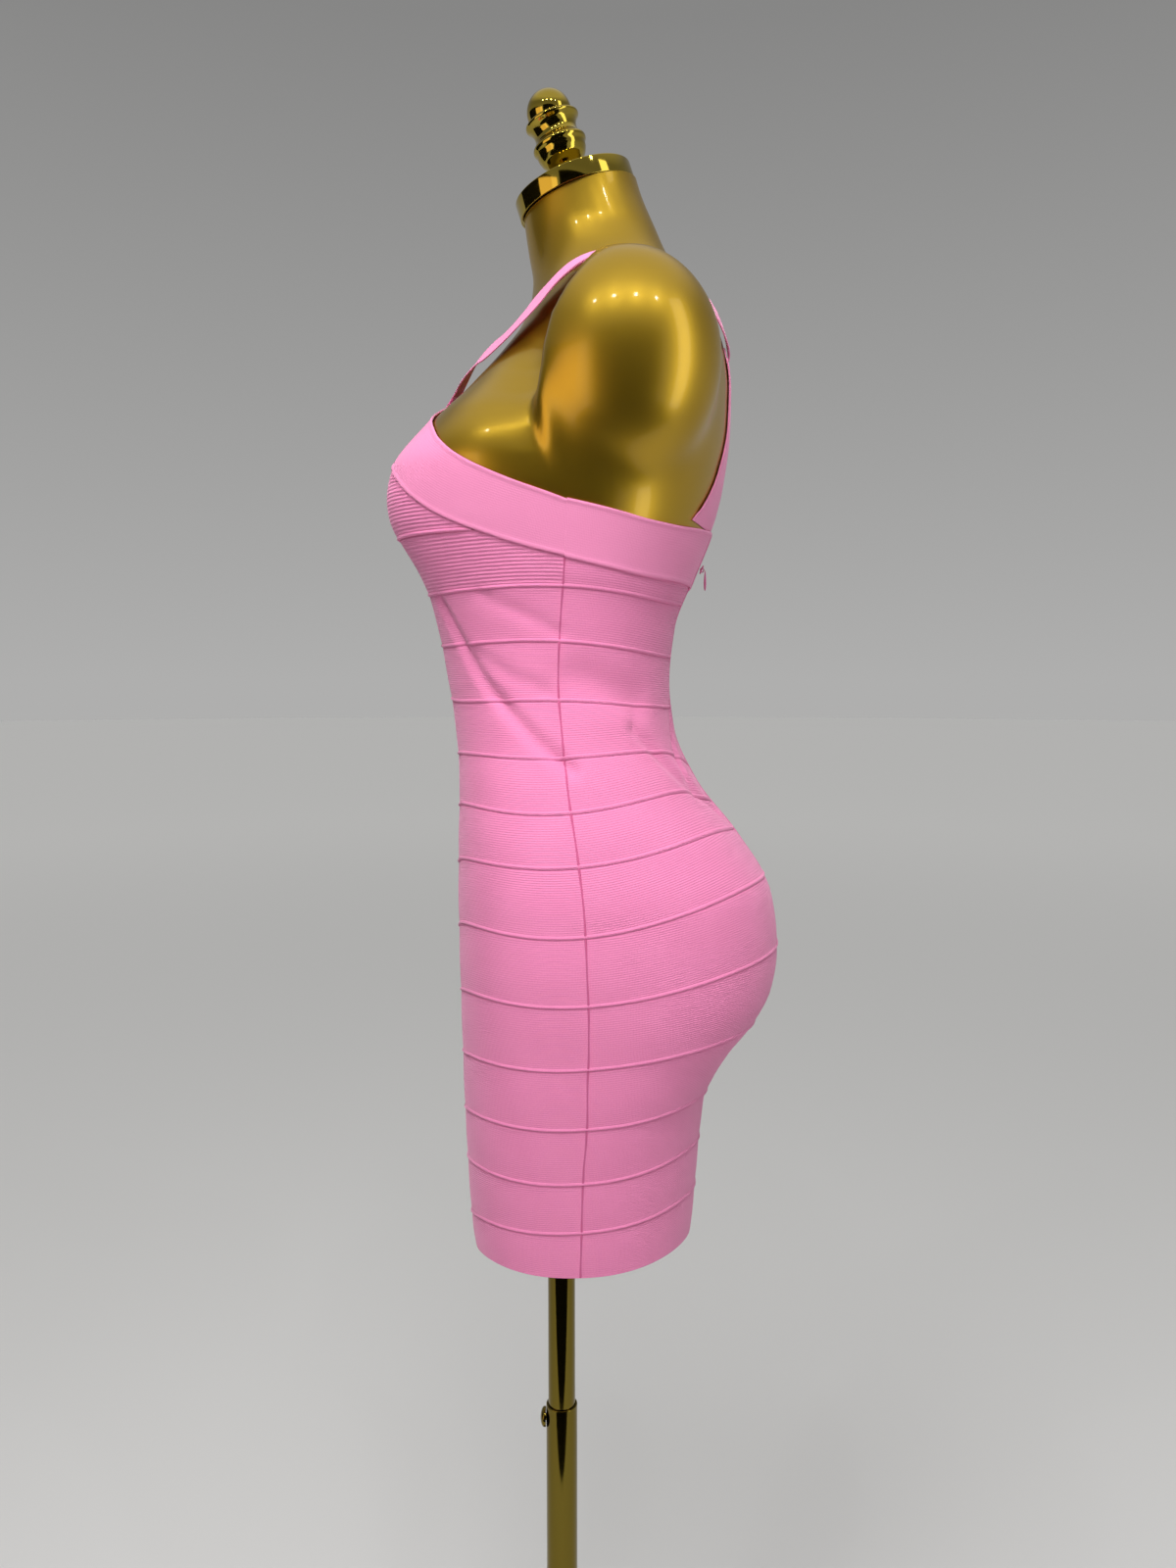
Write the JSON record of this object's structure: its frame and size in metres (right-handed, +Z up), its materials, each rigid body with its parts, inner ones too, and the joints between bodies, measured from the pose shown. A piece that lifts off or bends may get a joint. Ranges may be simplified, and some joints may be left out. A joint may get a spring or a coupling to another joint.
{
  "type": "bodycon dress on a dress form with a telescopic stand",
  "caption": "Short fitted dress of knitted horizontal bands with crossed halter straps and racer back, worn by a smooth limbless dress form with a turned finial on a pole and round base.",
  "frame": {"origin": "middle of the underside of the round base, on the pole's axis", "axes": "+Z up along the pole; the front of the dress faces -Y; the wearer's left side is +X"},
  "size_m": [0.37, 0.37, 1.7171],
  "materials": {
    "knit": "matt ribbed knit",
    "band": "smooth matt knit",
    "zip": "painted to match the cloth",
    "gold_paint": "satin metallic gold paint on a glass-fibre shell",
    "gold_mirror": "mirror gold plating"
  },
  "bodies": {
    "stand": {"base": "gold_mirror", "base_hub": "gold_mirror", "outer_tube": "gold_mirror"},
    "clamp_screw": {"clamp_screw": "gold_mirror"},
    "mast": {"mast_tube": "gold_mirror"},
    "form": {"torso": "gold_paint", "neck_cap": "gold_mirror", "finial": "gold_mirror", "left_front_band": "band", "right_front_band": "band", "front_strip_01": "knit", "front_strip_02": "knit", "front_strip_03": "knit", "front_strip_04": "knit", "front_strip_05": "knit", "front_strip_06": "knit", "front_strip_07": "knit", "front_strip_08": "knit", "front_strip_09": "knit", "front_strip_10": "knit", "front_strip_11": "knit", "front_strip_12": "knit", "front_strip_13": "knit", "front_strip_14": "knit", "left_back_strip_02": "knit", "left_back_strip_03": "knit", "left_back_strip_04": "knit", "left_back_strip_05": "knit", "left_back_strip_06": "knit", "left_back_strip_07": "knit", "left_back_strip_08": "knit", "left_back_strip_09": "knit", "left_back_strip_10": "knit", "left_back_strip_11": "knit", "left_back_strip_12": "knit", "left_back_strip_13": "knit", "left_back_strip_14": "knit", "left_back_band": "band", "right_back_strip_02": "knit", "right_back_strip_03": "knit", "right_back_strip_04": "knit", "right_back_strip_05": "knit", "right_back_strip_06": "knit", "right_back_strip_07": "knit", "right_back_strip_08": "knit", "right_back_strip_09": "knit", "right_back_strip_10": "knit", "right_back_strip_11": "knit", "right_back_strip_12": "knit", "right_back_strip_13": "knit", "right_back_strip_14": "knit", "right_back_band": "band", "racer_back": "band", "zip_chain": "zip", "zip_slider": "zip"},
    "pull_tab": {"zip_pull_tab": "zip"}
  },
  "joints": [
    {"name": "screw_turn", "type": "hinge", "parent": "stand", "child": "clamp_screw", "pos_m": [0, -0.0138, 0.585], "axis": [0, -1, 0], "range_deg": [-540, 0]},
    {"name": "mast_slide", "type": "slide", "parent": "stand", "child": "mast", "axis": [0, 0, 1], "range_m": [-0.12, 0.2]},
    {"name": "form_swivel", "type": "hinge", "parent": "mast", "child": "form", "pos_m": [0, 0, 0.8], "axis": [0, 0, 1], "continuous": true},
    {"name": "pull_tab_swing", "type": "hinge", "parent": "form", "child": "pull_tab", "pos_m": [0, 0.1216, 1.33144], "axis": [1, 0, 0], "range_deg": [-12, 150]}
  ]
}
